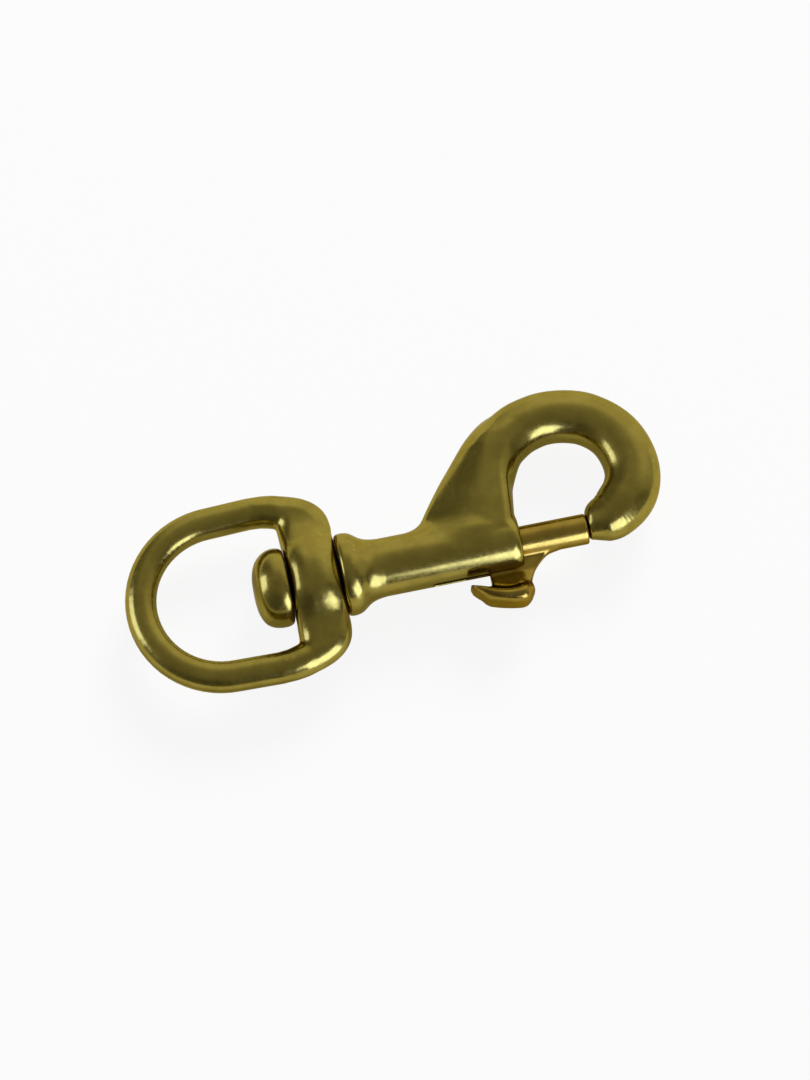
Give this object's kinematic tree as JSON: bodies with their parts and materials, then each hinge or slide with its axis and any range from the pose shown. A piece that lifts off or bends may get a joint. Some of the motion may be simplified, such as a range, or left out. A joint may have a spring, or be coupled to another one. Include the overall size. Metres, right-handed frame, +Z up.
{
  "type": "snap hook",
  "caption": "Solid brass snap hook: a round hook closed by a spring bolt with a thumb lever, on a barrel with a swivelling D-shaped eye.",
  "frame": {"origin": "middle of the footprint, on the surface that the snap lies on, under the collar's lowest point", "axes": "+X along the barrel's axis from the eye to the hook, +Y towards the hook's bend, +Z up through the snap's thickness"},
  "size_m": [0.0894, 0.04, 0.0135],
  "materials": {
    "body_brass": "polished casting with a soft, slightly mottled shine",
    "bolt_brass": "polished casting, a little warmer than the body",
    "spring_steel": "plain drawn wire"
  },
  "bodies": {
    "snap_body": {"hook_body": "body_brass", "swivel_pin": "body_brass", "bolt_spring": "spring_steel"},
    "eye": {"swivel_eye": "body_brass"},
    "bolt": {"slide_bolt": "bolt_brass"}
  },
  "joints": [
    {"name": "eye_swivel", "type": "hinge", "parent": "snap_body", "child": "eye", "pos_m": [-0.01372, -0.00408, 0.00675], "axis": [1, 0, 0], "continuous": true},
    {"name": "bolt_slide", "type": "slide", "parent": "snap_body", "child": "bolt", "axis": [-1, 0, 0], "range_m": [0, 0.0085], "stiffness_N_per_m": 400, "springref_m": -0.0075, "deforming": ["bolt_spring"]}
  ]
}
